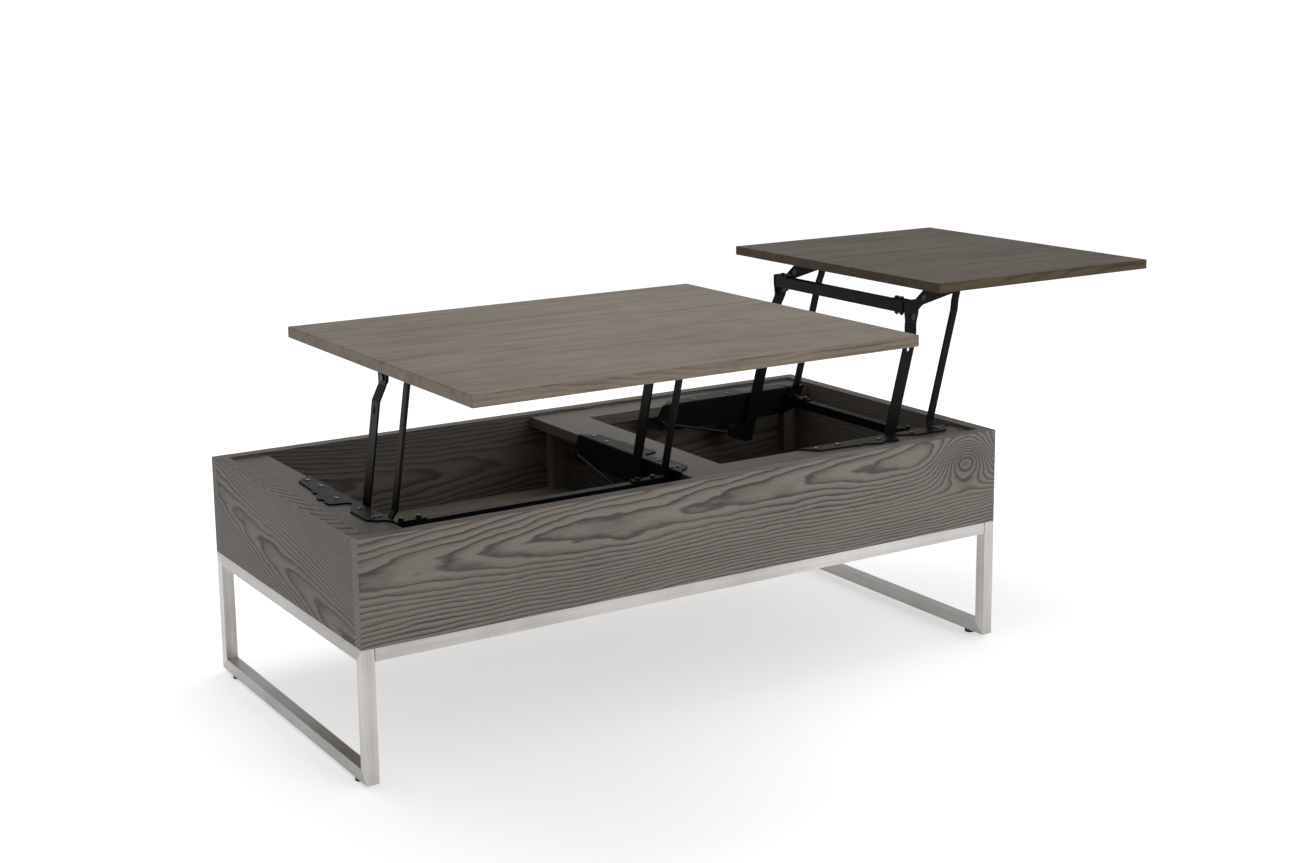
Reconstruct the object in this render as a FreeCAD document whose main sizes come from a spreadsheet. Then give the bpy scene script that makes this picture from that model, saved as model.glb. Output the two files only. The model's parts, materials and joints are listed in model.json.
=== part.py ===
import FreeCAD, Part
import os
import Sketcher

# Lift top coffee table.  Millimetres, +Z up.  X runs along the table, -Y is its front.
# The origin is on the floor under the middle of the box.  Both lids are drawn raised.

os.makedirs("parts", exist_ok=True)
doc = FreeCAD.newDocument("LiftTopTable")

# ---------------------------------------------------------------- driving dimensions
SIZES = [
    ("table_length", 1200), ("table_depth", 600), ("box_height", 164),
    ("foot_height", 7), ("foot_radius", 8.5), ("foot_inset", 45),
    ("frame_height", 206), ("tube_size", 20), ("tube_wall", 1.5), ("rail_gap", 1),
    ("board", 22), ("ledge_drop", 5), ("ledge_thickness", 18), ("ledge_width", 66),
    ("divider_offset", 53), ("middle_left", 58), ("middle_right", 6),
    ("batten_width", 25), ("batten_depth", 22),
    ("lid_thickness", 16.5), ("lid_bevel", 0.8), ("lid_gap", 0.7),
    ("lid_split", 109.5), ("lid_split_gap", 2.5),
    ("pivot_height", 84), ("main_pivot_y", 88.3), ("side_pivot_x", 425.3),
    ("main_arm", 292.7), ("main_lean", 16.24), ("side_arm", 284.8), ("side_lean", 14.94),
    ("link_run", 103), ("link_rise", 45), ("lid_over_pin", 57),
    ("plate", 3), ("fit_gap", 0.3), ("running_fit", 0.05),
    ("lift_width", 23.5), ("lift_lane", 9.9), ("lift_joggle", 8.1),
    ("guide_width", 13), ("guide_thick", 5), ("guide_crank", 3),
    ("pin_radius", 4), ("pin_head", 5.2), ("pin_head_thick", 2),
    ("bar_depth", 16), ("upper_bar_height", 20), ("lower_bar_height", 16), ("bar_wall", 2),
    ("bolt_radius", 2.5), ("bolt_head", 4.6), ("bolt_head_thick", 4),
    ("screw_radius", 2), ("screw_head", 4.2), ("screw_head_thick", 2),
    ("screw_bite", 11),
    ("lever_reach", 40), ("stud_radius", 1.8), ("spring_radius", 3), ("spring_wire", 1.1),
    ("flange_width", 33), ("flange_neck", 12), ("bend_radius", 2.5), ("tooth_radius", 3),
    ("top_flange_width", 25),
]
sheet = doc.addObject("Spreadsheet::Sheet", "Sizes")
for row, (alias, value) in enumerate(SIZES, start=1):
    sheet.set("A%d" % row, alias)
    sheet.set("B%d" % row, str(value))
    sheet.setAlias("B%d" % row, alias)
doc.recompute()


def value(expression):
    """The number that an expression on the sheet gives."""
    return float(sheet.evalExpression(str(expression)))


def named(alias):
    return "Sizes." + alias


HALF_X = "(Sizes.table_length/2)"
HALF_Y = "(Sizes.table_depth/2)"
FRAME_TOP = "(Sizes.foot_height + Sizes.frame_height)"
RIM = "(%s + Sizes.box_height)" % FRAME_TOP
FLOOR_TOP = "(%s + Sizes.board)" % FRAME_TOP
LEDGE_TOP = "(%s - Sizes.ledge_drop)" % RIM
LEDGE_BOTTOM = "(%s - Sizes.ledge_thickness)" % LEDGE_TOP
INSIDE_X = "(%s - Sizes.board)" % HALF_X
INSIDE_Y = "(%s - Sizes.board)" % HALF_Y
DIVIDER_RIGHT = "(Sizes.divider_offset + Sizes.board)"
MIDDLE_LEFT = "(Sizes.divider_offset - Sizes.middle_left)"
MIDDLE_RIGHT = "(%s + Sizes.middle_right)" % DIVIDER_RIGHT
LEDGE_EDGE_X = "(%s - Sizes.ledge_width)" % INSIDE_X
LEDGE_EDGE_Y = "(%s - Sizes.ledge_width)" % INSIDE_Y
PIVOT_Z = "(%s + Sizes.pivot_height)" % FRAME_TOP

nodes = []


def keep(obj, label):
    """Marks an object as a finished sub-part with its own file name."""
    obj.Label = label
    nodes.append(obj)
    return obj


# ---------------------------------------------------------------- plain boards
def board(name, x, y, z):
    """A flat board between pairs of coordinates."""
    obj = doc.addObject("Part::Box", name)
    for size, axis, (low, high) in (("Length", "x", x), ("Width", "y", y), ("Height", "z", z)):
        obj.setExpression(size, "%s - (%s)" % (high, low))
        obj.setExpression(".Placement.Base." + axis, str(low))
    return obj


def peg(name, radius, length, place):
    """A round tool or stud that stands on its place and points along its own Z."""
    obj = doc.addObject("Part::Cylinder", name)
    obj.setExpression("Radius", radius)
    obj.setExpression("Height", length)
    obj.Placement = place
    return obj


def group(label, members):
    obj = doc.addObject("Part::Compound", label + "_group")
    obj.Links = members
    return keep(obj, label)


def drilled(label, blank, places, radius, depth):
    """A board with one blind hole for each place."""
    tools = doc.addObject("Part::Compound", label + "_drills")
    tools.Links = [peg("%s_drill_%d" % (label, i), radius, depth, p) for i, p in enumerate(places)]
    obj = doc.addObject("Part::Cut", label + "_cut")
    obj.Base = blank
    obj.Tool = tools
    return keep(obj, label)


# ---------------------------------------------------------------- sketches and bodies
def origin_plane(body, role):
    return [f for f in body.Origin.OriginFeatures if f.Role == role][0]


def sketch_on(body, name, role, offset="0"):
    """A sketch on one of the body's own origin planes, moved along the plane's normal."""
    sketch = body.newObject("Sketcher::SketchObject", name)
    sketch.AttachmentSupport = [(origin_plane(body, role), "")]
    sketch.MapMode = "FlatFace"
    sketch.setExpression(".AttachmentOffset.Base.z", str(offset))
    return sketch


def outline(sketch, points):
    """A closed outline; each corner is tied to its own two expressions."""
    corners = [FreeCAD.Vector(value(x), value(y), 0) for x, y in points]
    count = len(corners)
    first = sketch.GeometryCount
    for i in range(count):
        sketch.addGeometry(Part.LineSegment(corners[i], corners[(i + 1) % count]), False)
    for i in range(count):
        after = first + (i + 1) % count
        sketch.addConstraint(Sketcher.Constraint("Coincident", first + i, 2, after, 1))
    for i, (x, y) in enumerate(points):
        for kind, text, number in (("DistanceX", x, corners[i].x), ("DistanceY", y, corners[i].y)):
            index = sketch.addConstraint(Sketcher.Constraint(kind, -1, 1, first + i, 1, number))
            sketch.setExpression("Constraints[%d]" % index, str(text))


def circle(sketch, centre, radius):
    """A circle whose centre and radius are tied to expressions."""
    x, y = centre
    spot = FreeCAD.Vector(value(x), value(y), 0)
    edge = sketch.addGeometry(Part.Circle(spot, FreeCAD.Vector(0, 0, 1), value(radius)), False)
    for kind, text, number in (("DistanceX", x, spot.x), ("DistanceY", y, spot.y)):
        index = sketch.addConstraint(Sketcher.Constraint(kind, -1, 1, edge, 3, number))
        sketch.setExpression("Constraints[%d]" % index, str(text))
    index = sketch.addConstraint(Sketcher.Constraint("Radius", edge, value(radius)))
    sketch.setExpression("Constraints[%d]" % index, str(radius))


def pad(body, name, sketch, length):
    """Thickens a sketch equally to both sides."""
    obj = body.newObject("PartDesign::Pad", name)
    obj.Profile = sketch
    obj.Midplane = True
    obj.setExpression("Length", str(length))
    doc.recompute()
    return obj


def cut_through(body, name, sketch):
    """Cuts a sketch right through the body, to both sides."""
    obj = body.newObject("PartDesign::Pocket", name)
    obj.Profile = sketch
    obj.Midplane = True
    obj.Type = "ThroughAll"
    before = body.Shape.Volume
    doc.recompute()
    assert body.Shape.Volume < before, name
    return obj


def soften(body, name, base, axis, corners, radius):
    """Rounds the edges that run along an axis through the given corners."""
    names = []
    across = [i for i in range(3) if i != axis]
    for number, edge in enumerate(base.Shape.Edges, start=1):
        ends = [edge.Vertexes[0].Point, edge.Vertexes[-1].Point]
        if abs(ends[0][axis] - ends[1][axis]) < 0.5:
            continue
        if any((ends[0][i] - ends[1][i]) ** 2 > 1e-6 for i in across):
            continue
        here = [ends[0][i] for i in across]
        if any(abs(here[0] - value(a)) + abs(here[1] - value(b)) < 0.01 for a, b in corners):
            names.append("Edge%d" % number)
    fillet = body.newObject("PartDesign::Fillet", name)
    fillet.Base = (base, names)
    fillet.setExpression("Radius", str(radius))
    doc.recompute()
    return fillet


def rectangle(x, y):
    return [(x[0], y[0]), (x[1], y[0]), (x[1], y[1]), (x[0], y[1])]


def turned(name, steps):
    """A round piece along its own Z, given as (radius, from, to) steps that follow each other."""
    body = doc.addObject("PartDesign::Body", name)
    sketch = sketch_on(body, name + "_profile", "XZ_Plane")
    points = [("0", steps[0][1])]
    for radius, low, high in steps:
        points += [(radius, low), (radius, high)]
    points.append(("0", steps[-1][2]))
    outline(sketch, points)
    turn = body.newObject("PartDesign::Revolution", name + "_turn")
    turn.Profile = sketch
    turn.ReferenceAxis = (sketch, ["V_Axis"])
    turn.Angle = 360
    doc.recompute()
    return body


def copies(label, pattern, places):
    """The same fastener set at several places, as one group of separate solids."""
    links = []
    for i, place in enumerate(places):
        link = doc.addObject("App::Link", "%s_%d" % (label, i + 1))
        link.LinkedObject = pattern
        link.LinkTransform = False
        link.Placement = place
        links.append(link)
    return links


# ---------------------------------------------------------------- leg frames
UP = FreeCAD.Vector(0, 0, 1)


def axes(x, y, z):
    """A turn that sends the local axes to the three given directions."""
    return FreeCAD.Rotation(FreeCAD.Vector(*x), FreeCAD.Vector(*y), FreeCAD.Vector(*z), "ZXY")


def tube(label, length, mitred, turn, base, screw_holes=()):
    """A square tube along its own Z.  A mitred one has its long side toward its own +Y."""
    body = doc.addObject("PartDesign::Body", label + "_body")
    half = "(Sizes.tube_size/2)"
    inner = "(Sizes.tube_size/2 - Sizes.tube_wall)"
    section = sketch_on(body, label + "_section", "XY_Plane", "(%s)/2" % length)
    outline(section, rectangle(("-" + half, half), ("-" + half, half)))
    outline(section, rectangle(("-" + inner, inner), ("-" + inner, inner)))
    pad(body, label + "_pad", section, length)
    if mitred:
        corners = sketch_on(body, label + "_mitre", "YZ_Plane")
        size = named("tube_size")
        outline(corners, [("-" + half + " - 1", "-1"), (half, "0"), ("-" + half + " - 1", size + " + 1")])
        top = "(%s)" % length
        outline(corners, [("-" + half + " - 1", top + " + 1"),
                          ("-" + half + " - 1", "%s - %s - 1" % (top, size)), (half, top)])
        cut_through(body, label + "_mitre_cut", corners)
    if screw_holes:
        drill = sketch_on(body, label + "_holes", "YZ_Plane")
        for z in screw_holes:
            circle(drill, ("0", z), "Sizes.screw_radius + Sizes.running_fit")
        cut_through(body, label + "_drilled", drill)
    body.Placement = FreeCAD.Placement(FreeCAD.Vector(*[value(c) for c in base]), turn)
    return keep(body, label)


TUBE_HALF = "(Sizes.tube_size/2)"
FRAME_LOW = named("foot_height")
for side, sign in (("left", "-"), ("right", "")):
    x = "%s(%s - %s)" % (sign, HALF_X, TUBE_HALF)
    near = "-(%s - %s)" % (HALF_Y, TUBE_HALF)
    far = "(%s - %s)" % (HALF_Y, TUBE_HALF)
    tube(side + "_front_post", named("frame_height"), True, axes((-1, 0, 0), (0, -1, 0), (0, 0, 1)),
         (x, near, FRAME_LOW))
    tube(side + "_rear_post", named("frame_height"), True, axes((1, 0, 0), (0, 1, 0), (0, 0, 1)),
         (x, far, FRAME_LOW))
    tube(side + "_top_bar", named("table_depth"), True, axes((-1, 0, 0), (0, 0, 1), (0, 1, 0)),
         (x, "-" + HALF_Y, "%s - %s" % (FRAME_TOP, TUBE_HALF)))
    tube(side + "_floor_bar", named("table_depth"), True, axes((1, 0, 0), (0, 0, -1), (0, 1, 0)),
         (x, "-" + HALF_Y, "%s + %s" % (FRAME_LOW, TUBE_HALF)))

RAIL_LENGTH = "(Sizes.table_length - 2*Sizes.tube_size - 2*Sizes.rail_gap)"
RAIL_SCREWS = ["%s*%s" % (RAIL_LENGTH, share) for share in ("0.07", "0.357", "0.643", "0.93")]
RAIL_Z = "(%s - %s)" % (FRAME_TOP, TUBE_HALF)
RAIL_Y = {"front": "-(%s - %s)" % (HALF_Y, TUBE_HALF), "rear": "(%s - %s)" % (HALF_Y, TUBE_HALF)}
for side, y in RAIL_Y.items():
    tube(side + "_rail", RAIL_LENGTH, False, axes((0, 0, 1), (0, 1, 0), (-1, 0, 0)),
         ("%s/2" % RAIL_LENGTH, y, RAIL_Z), RAIL_SCREWS)

feet = []
for i, (sx, sy) in enumerate(((-1, -1), (1, -1), (-1, 1), (1, 1))):
    spot = FreeCAD.Vector(sx * value("%s - %s" % (HALF_X, TUBE_HALF)),
                          sy * value("%s - Sizes.foot_inset" % HALF_Y), 0)
    feet.append(peg("foot_%d" % (i + 1), named("foot_radius"), named("foot_height"),
                    FreeCAD.Placement(spot, FreeCAD.Rotation())))
group("rubber_feet", feet)

# ---------------------------------------------------------------- wood screw and its places
DOWN = FreeCAD.Rotation(FreeCAD.Vector(1, 0, 0), 180)
wood_screw = turned("wood_screw", [
    (named("screw_radius"), "-(Sizes.plate + Sizes.screw_bite)", "0"),
    (named("screw_head"), "0", named("screw_head_thick"))])
rail_screw = turned("rail_screw", [
    (named("screw_radius"), "-(Sizes.tube_size + Sizes.screw_bite)", "0"),
    (named("screw_head"), "0", named("screw_head_thick"))])

rail_places = {}
for side, y in RAIL_Y.items():
    spots = []
    for share in RAIL_SCREWS:
        x = value("%s/2 - %s" % (RAIL_LENGTH, share))
        spots.append(FreeCAD.Placement(
            FreeCAD.Vector(x, value(y), value("%s - Sizes.tube_size" % FRAME_TOP)), DOWN))
    rail_places[side] = spots
group("frame_screws", copies("frame_screw", rail_screw, rail_places["front"] + rail_places["rear"]))

# ---------------------------------------------------------------- the box
PILOT = "Sizes.screw_radius + Sizes.running_fit"
BITE = "Sizes.screw_bite + 1"


def raised(places, height):
    """The same places at another height, with their drills pointing up."""
    return [FreeCAD.Placement(FreeCAD.Vector(p.Base.x, p.Base.y, height), FreeCAD.Rotation()) for p in places]


full_x = ("-" + HALF_X, HALF_X)
inside_x = ("-" + INSIDE_X, INSIDE_X)
inside_y = ("-" + INSIDE_Y, INSIDE_Y)
wall_z = (FRAME_TOP, RIM)
drilled("front_panel", board("front_board", full_x, ("-" + HALF_Y, "-" + INSIDE_Y), wall_z),
        raised(rail_places["front"], value(FRAME_TOP)), PILOT, BITE)
drilled("rear_panel", board("rear_board", full_x, (INSIDE_Y, HALF_Y), wall_z),
        raised(rail_places["rear"], value(FRAME_TOP)), PILOT, BITE)
keep(board("left_board", ("-" + HALF_X, "-" + INSIDE_X), inside_y, wall_z), "left_panel")
keep(board("right_board", (INSIDE_X, HALF_X), inside_y, wall_z), "right_panel")
keep(board("floor_board", inside_x, inside_y, (FRAME_TOP, FLOOR_TOP)), "bottom_board")
keep(board("divider_board", (named("divider_offset"), DIVIDER_RIGHT), inside_y, (FLOOR_TOP, LEDGE_BOTTOM)),
     "divider")

battens = []
batten_z = (FLOOR_TOP, LEDGE_BOTTOM)
for i, x in enumerate((("Sizes.divider_offset - Sizes.batten_width", named("divider_offset")),
                       ("%s - Sizes.batten_width" % INSIDE_X, INSIDE_X))):
    front = ("-" + INSIDE_Y, "-%s + Sizes.batten_depth" % INSIDE_Y)
    rear = ("%s - Sizes.batten_depth" % INSIDE_Y, INSIDE_Y)
    battens.append(board("batten_front_%d" % i, x, front, batten_z))
    battens.append(board("batten_rear_%d" % i, x, rear, batten_z))
group("corner_battens", battens)

# ---------------------------------------------------------------- lift mechanism
# Each mechanism has its own frame: local X is the way the lid comes forward, local Z is up,
# the origin is midway between the two lower pivots of the lift arms.
# "Depth" is counted inward from the edge of the ledge, toward the middle of the mechanism.
GAP = named("fit_gap")
PLATE = named("plate")
WEB = (GAP, "(%s + %s)" % (GAP, PLATE))
LIFT_LOW = (named("lift_lane"), "(Sizes.lift_lane + Sizes.plate)")
LIFT_HIGH = ("(Sizes.lift_lane + Sizes.lift_joggle)", "(Sizes.lift_lane + Sizes.lift_joggle + Sizes.plate)")
TOP_PLATE = ("(%s + %s)" % (LIFT_HIGH[1], GAP), "(%s + %s + %s)" % (LIFT_HIGH[1], GAP, PLATE))
GUIDE_HIGH = ("(%s - %s - Sizes.guide_thick)" % (TOP_PLATE[0], GAP), "(%s - %s)" % (TOP_PLATE[0], GAP))
GUIDE_RUN = ("(%s - Sizes.guide_crank)" % GUIDE_HIGH[0], "(%s - Sizes.guide_crank)" % GUIDE_HIGH[1])
GUIDE_LOW = ("(%s + %s)" % (WEB[1], GAP), "(%s + %s + Sizes.guide_thick)" % (WEB[1], GAP))
SPRING_LANE = (GUIDE_LOW[0], "(%s + 2*Sizes.spring_radius)" % GUIDE_LOW[0])
EAR_TOP = "30"
BAR_CENTRE = ("-9", "(%s - Sizes.plate - Sizes.upper_bar_height/2)" % EAR_TOP)
LOW_BAR_CENTRE = (-2, 9)
HOLE = "(Sizes.pin_radius + Sizes.running_fit)"
BOLT_HOLE = "(Sizes.bolt_radius + Sizes.running_fit)"
UPPER_BOLTS = ("33", "49")
LOWER_BOLTS = ("31", "60")
HOOK = ("-Sizes.lever_reach", "8")
ANCHOR = ("-187", "43")
RIVET = ("26", "31")
BRACKET_SCREWS = [(-157, 15), (-110, 12), (-27, 21), (51, 16), (106, 23), (106, 9)]
LID_SCREWS = [(56, 15), (86, 15), (114, 15)]


class Mechanism:
    """Places, lanes and arm lines of one lift mechanism."""

    def __init__(self, name, arm, lean, spread, place):
        self.name = name
        self.arm = arm
        self.lean = lean
        self.spread = spread
        self.place = place
        self.flange = "(%s - %s)" % (LEDGE_TOP, PIVOT_Z)
        self.top_pin = self.along("0", arm, "0")

    def lane(self, sign, depth):
        """Local Y of a depth on one side."""
        return "%d*(%s - (%s))" % (sign, self.spread, depth)

    def along(self, start, run, aside, rise="0"):
        """A point some way up an arm that starts at (start, rise), and some way in front of it."""
        lean = self.lean
        x = "(%s + (%s)*sin(%s) + (%s)*cos(%s))" % (start, run, lean, aside, lean)
        z = "(%s + (%s)*cos(%s) - (%s)*sin(%s))" % (rise, run, lean, aside, lean)
        return (x, z)

    def from_top(self, x, z):
        """A point measured from the upper pivot of the lift arm."""
        return ("(%s + %s)" % (self.top_pin[0], x), "(%s + %s)" % (self.top_pin[1], z))

    def world(self, x, y, z, turn=FreeCAD.Rotation()):
        spot = FreeCAD.Vector(value(x), value(y), value(z))
        return self.place.multiply(FreeCAD.Placement(spot, turn))

    def finish(self, body, label):
        body.Placement = self.place
        return keep(body, label)


def across(depths):
    """Middle and thickness of a pair of depths."""
    return "((%s) + (%s))/2" % depths, "(%s) - (%s)" % (depths[1], depths[0])


def side_plate(mech, body, name, sign, depths, points):
    """A plate that stands on edge, between two depths."""
    middle, thickness = across(depths)
    sketch = sketch_on(body, name, "XZ_Plane", "-(%s)" % mech.lane(sign, middle))
    outline(sketch, points)
    return sketch, thickness


def strip(mech, body, name, sign, path):
    """A flat bar with offsets, seen from the front: a list of (depths, height)."""
    sketch = sketch_on(body, name, "YZ_Plane")
    points = [(mech.lane(sign, depths[0]), z) for depths, z in path]
    points += [(mech.lane(sign, depths[1]), z) for depths, z in reversed(path)]
    outline(sketch, points)
    return pad(body, name + "_blank", sketch, "2*" + mech.arm)


def trim(mech, body, name, points, holes):
    """Leaves only what lies inside the outline, and drills the holes."""
    sketch = sketch_on(body, name, "XZ_Plane")
    reach = "1.5*" + mech.arm
    outline(sketch, rectangle(("-" + reach, reach), ("-" + reach, reach)))
    outline(sketch, points)
    for centre, radius in holes:
        circle(sketch, centre, radius)
    return cut_through(body, name + "_cut", sketch)


def tab_on(mech, body, name, sign, x, z, depths, bolts):
    """A lug bent inward over a cross bar, with its bolt holes."""
    sketch, thickness = side_plate(mech, body, name, sign, depths, rectangle(x, z))
    pad(body, name + "_pad", sketch, thickness)
    drill = sketch_on(body, name + "_holes", "XY_Plane")
    for depth in bolts:
        circle(drill, ("(%s + %s)/2" % x, mech.lane(sign, depth)), BOLT_HOLE)
    return cut_through(body, name + "_drilled", drill)


def lift_arm(mech, label, sign):
    """The wide arm that carries the lid, with the spring lever at its foot."""
    body = doc.addObject("PartDesign::Body", label + "_body")
    lean = mech.lean
    half = "(Sizes.lift_width/2)"
    top = mech.from_top("0", EAR_TOP)[1]
    strip(mech, body, label + "_side", sign, [
        (LIFT_LOW, "-16"), (LIFT_LOW, "(%s - 38)*cos(%s)" % (mech.arm, lean)),
        (LIFT_HIGH, "(%s - 12)*cos(%s)" % (mech.arm, lean)), (LIFT_HIGH, top)])
    heel = mech.along("0", "-12", half)
    shoulder = mech.along("0", mech.arm + " + 8", half)
    nose = mech.from_top("15", EAR_TOP)
    ear = mech.from_top("-17", EAR_TOP)
    ear_low = mech.from_top("-17", "14")
    neck = mech.along("0", mech.arm + " - 12", "-" + half)
    armpit = mech.along("0", "22", "-" + half)
    lever_top = ("-(Sizes.lever_reach + 4.5)", "15")
    lever_low = ("-(Sizes.lever_reach + 4.5)", "1")
    toe = ("-9", "-13")
    holes = [(("0", "0"), HOLE), (mech.top_pin, HOLE)]
    shaped = trim(mech, body, label + "_face",
                  [heel, shoulder, nose, ear, ear_low, neck, armpit, lever_top, lever_low, toe], holes)
    shaped = soften(body, label + "_round", shaped, 1, [heel, nose, toe], "8")
    shaped = soften(body, label + "_ease", shaped, 1, [lever_top, lever_low, ear_low, armpit], "5")
    middle, thickness = across(("(%s + 0.6)" % SPRING_LANE[0], LIFT_LOW[1]))
    stud = sketch_on(body, label + "_stud", "XZ_Plane", "-(%s)" % mech.lane(sign, middle))
    circle(stud, HOOK, named("stud_radius"))
    pad(body, label + "_stud_pad", stud, thickness)
    slot = sketch_on(body, label + "_slot", "XZ_Plane")
    outline(slot, [mech.along("0", "%s - %s" % (mech.arm, run), aside)
                   for run, aside in (("60", "-3"), ("48", "-3"), ("48", "3"), ("60", "3"))])
    cut_through(body, label + "_slot_cut", slot)
    width = (mech.from_top("-17", "0")[0], mech.from_top("-1", "0")[0])
    height = (mech.from_top("0", EAR_TOP + " - Sizes.plate")[1], top)
    tab_on(mech, body, label + "_tab", sign, width, height, (LIFT_HIGH[0], "58"), UPPER_BOLTS)
    return mech.finish(body, label)


def guide_arm(mech, label, sign):
    """The narrow arm that keeps the lid level."""
    body = doc.addObject("PartDesign::Body", label + "_body")
    half = "(Sizes.guide_width/2)"
    run = named("link_run")
    rise = named("link_rise")

    def up(length):
        return "(%s + (%s)*cos(%s))" % (rise, length, mech.lean)

    strip(mech, body, label + "_side", sign, [
        (GUIDE_LOW, up("-10")), (GUIDE_LOW, up("26")), (GUIDE_RUN, up("42")),
        (GUIDE_RUN, up(mech.arm + " - 42")), (GUIDE_HIGH, up(mech.arm + " - 26")),
        (GUIDE_HIGH, up(mech.arm + " + 10"))])
    corners = [mech.along(run, length, side + half, rise)
               for length, side in (("-" + half, ""), (mech.arm + " + " + half, ""),
                                    (mech.arm + " + " + half, "-"), ("-" + half, "-"))]
    pins = [mech.along(run, length, "0", rise) for length in ("0", mech.arm)]
    shaped = trim(mech, body, label + "_face", corners, [(pin, HOLE) for pin in pins])
    soften(body, label + "_round", shaped, 1, corners, half + " - 0.5")
    reach = "(Sizes.bar_depth/2)"
    width = tuple("(%s + %d %s %s)" % (run, LOW_BAR_CENTRE[0], way, reach) for way in "-+")
    low = "(%s + %d + Sizes.lower_bar_height/2)" % (rise, LOW_BAR_CENTRE[1])
    tab_on(mech, body, label + "_tab", sign, width, (low, low + " + Sizes.plate"), (GUIDE_LOW[0], "70"),
           LOWER_BOLTS)
    return mech.finish(body, label)


def cross_bar(mech, label, centre, height, depth, bolts):
    """A hollow bar from one side to the other."""
    body = doc.addObject("PartDesign::Body", label + "_body")
    x, z = centre
    for name, shrink in (("outer", "0"), ("inner", named("bar_wall"))):
        half_x = "(Sizes.bar_depth/2 - %s)" % shrink
        half_z = "(%s/2 - %s)" % (height, shrink)
        frame = rectangle(("%s - %s" % (x, half_x), "%s + %s" % (x, half_x)),
                          ("%s - %s" % (z, half_z), "%s + %s" % (z, half_z)))
        if name == "outer":
            section = sketch_on(body, label + "_section", "XZ_Plane")
        outline(section, frame)
    pad(body, label + "_pad", section, "2*(%s - (%s))" % (mech.spread, depth))
    drill = sketch_on(body, label + "_holes", "XY_Plane")
    for sign in (-1, 1):
        for bolt in bolts:
            circle(drill, (x, mech.lane(sign, bolt)), BOLT_HOLE)
    cut_through(body, label + "_drilled", drill)
    return mech.finish(body, label)


def hex_bolt(name, grip):
    """A vertical bolt with its nut; its own origin is under the head."""
    body = doc.addObject("PartDesign::Body", name)
    thick = named("bolt_head_thick")
    corners = [("Sizes.bolt_head*cos(%d)" % turn, "Sizes.bolt_head*sin(%d)" % turn)
               for turn in range(0, 360, 60)]
    head = sketch_on(body, name + "_head", "XY_Plane", thick + "/2")
    outline(head, corners)
    pad(body, name + "_head_pad", head, thick)
    shank = sketch_on(body, name + "_shank", "XY_Plane", "-(%s + %s + 2)/2" % (grip, thick))
    circle(shank, ("0", "0"), named("bolt_radius"))
    pad(body, name + "_shank_pad", shank, "%s + %s + 2" % (grip, thick))
    nut = sketch_on(body, name + "_nut", "XY_Plane", "-(%s + %s/2)" % (grip, thick))
    outline(nut, corners)
    pad(body, name + "_nut_pad", nut, thick)
    return body


def top_bracket(mech, label, sign):
    """The plate under the lid that joins the two upper pivots."""
    body = doc.addObject("PartDesign::Body", label + "_body")
    lid = named("lid_over_pin")
    run = named("link_run")
    rise = named("link_rise")
    heel = mech.from_top("-10.5", "-10.5")
    toe = mech.from_top("9", "-10.5")
    end_low = mech.from_top(run + " + 10", rise + " - 9")
    shoulder = mech.from_top("-10.5", "8")
    points = [heel, toe, mech.from_top("9", "4.5"), mech.from_top("26", "18"), end_low,
              mech.from_top(run + " + 10", lid), mech.from_top("45", lid), mech.from_top("23", "39"),
              mech.from_top("6", "25"), shoulder]
    sketch, thickness = side_plate(mech, body, label + "_face", sign, TOP_PLATE, points)
    for pin in (mech.top_pin, mech.from_top(run, rise), mech.from_top(*RIVET)):
        circle(sketch, pin, HOLE)
    web = pad(body, label + "_web", sketch, thickness)
    web = soften(body, label + "_round", web, 1, [heel, toe, end_low], "8")
    inner = "(%s + Sizes.top_flange_width)" % TOP_PLATE[0]
    flange = sketch_on(body, label + "_flange", "XY_Plane",
                       "%s - Sizes.plate/2" % mech.from_top("0", lid)[1])
    ends = (mech.from_top("42", "0")[0], mech.from_top("124", "0")[0])
    edge = mech.lane(sign, TOP_PLATE[0])
    lip = mech.lane(sign, inner)
    outline(flange, [(ends[0], edge), (ends[1], edge), (ends[1] + " - 6", lip), (ends[0] + " + 8", lip)])
    pad(body, label + "_flange_pad", flange, PLATE)
    drill = sketch_on(body, label + "_holes", "XY_Plane")
    for x, out in LID_SCREWS:
        depth = "%s + %d" % (TOP_PLATE[0], out)
        circle(drill, (mech.from_top(str(x), "0")[0], mech.lane(sign, depth)), PILOT)
    cut_through(body, label + "_drilled", drill)
    return mech.finish(body, label)


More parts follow.
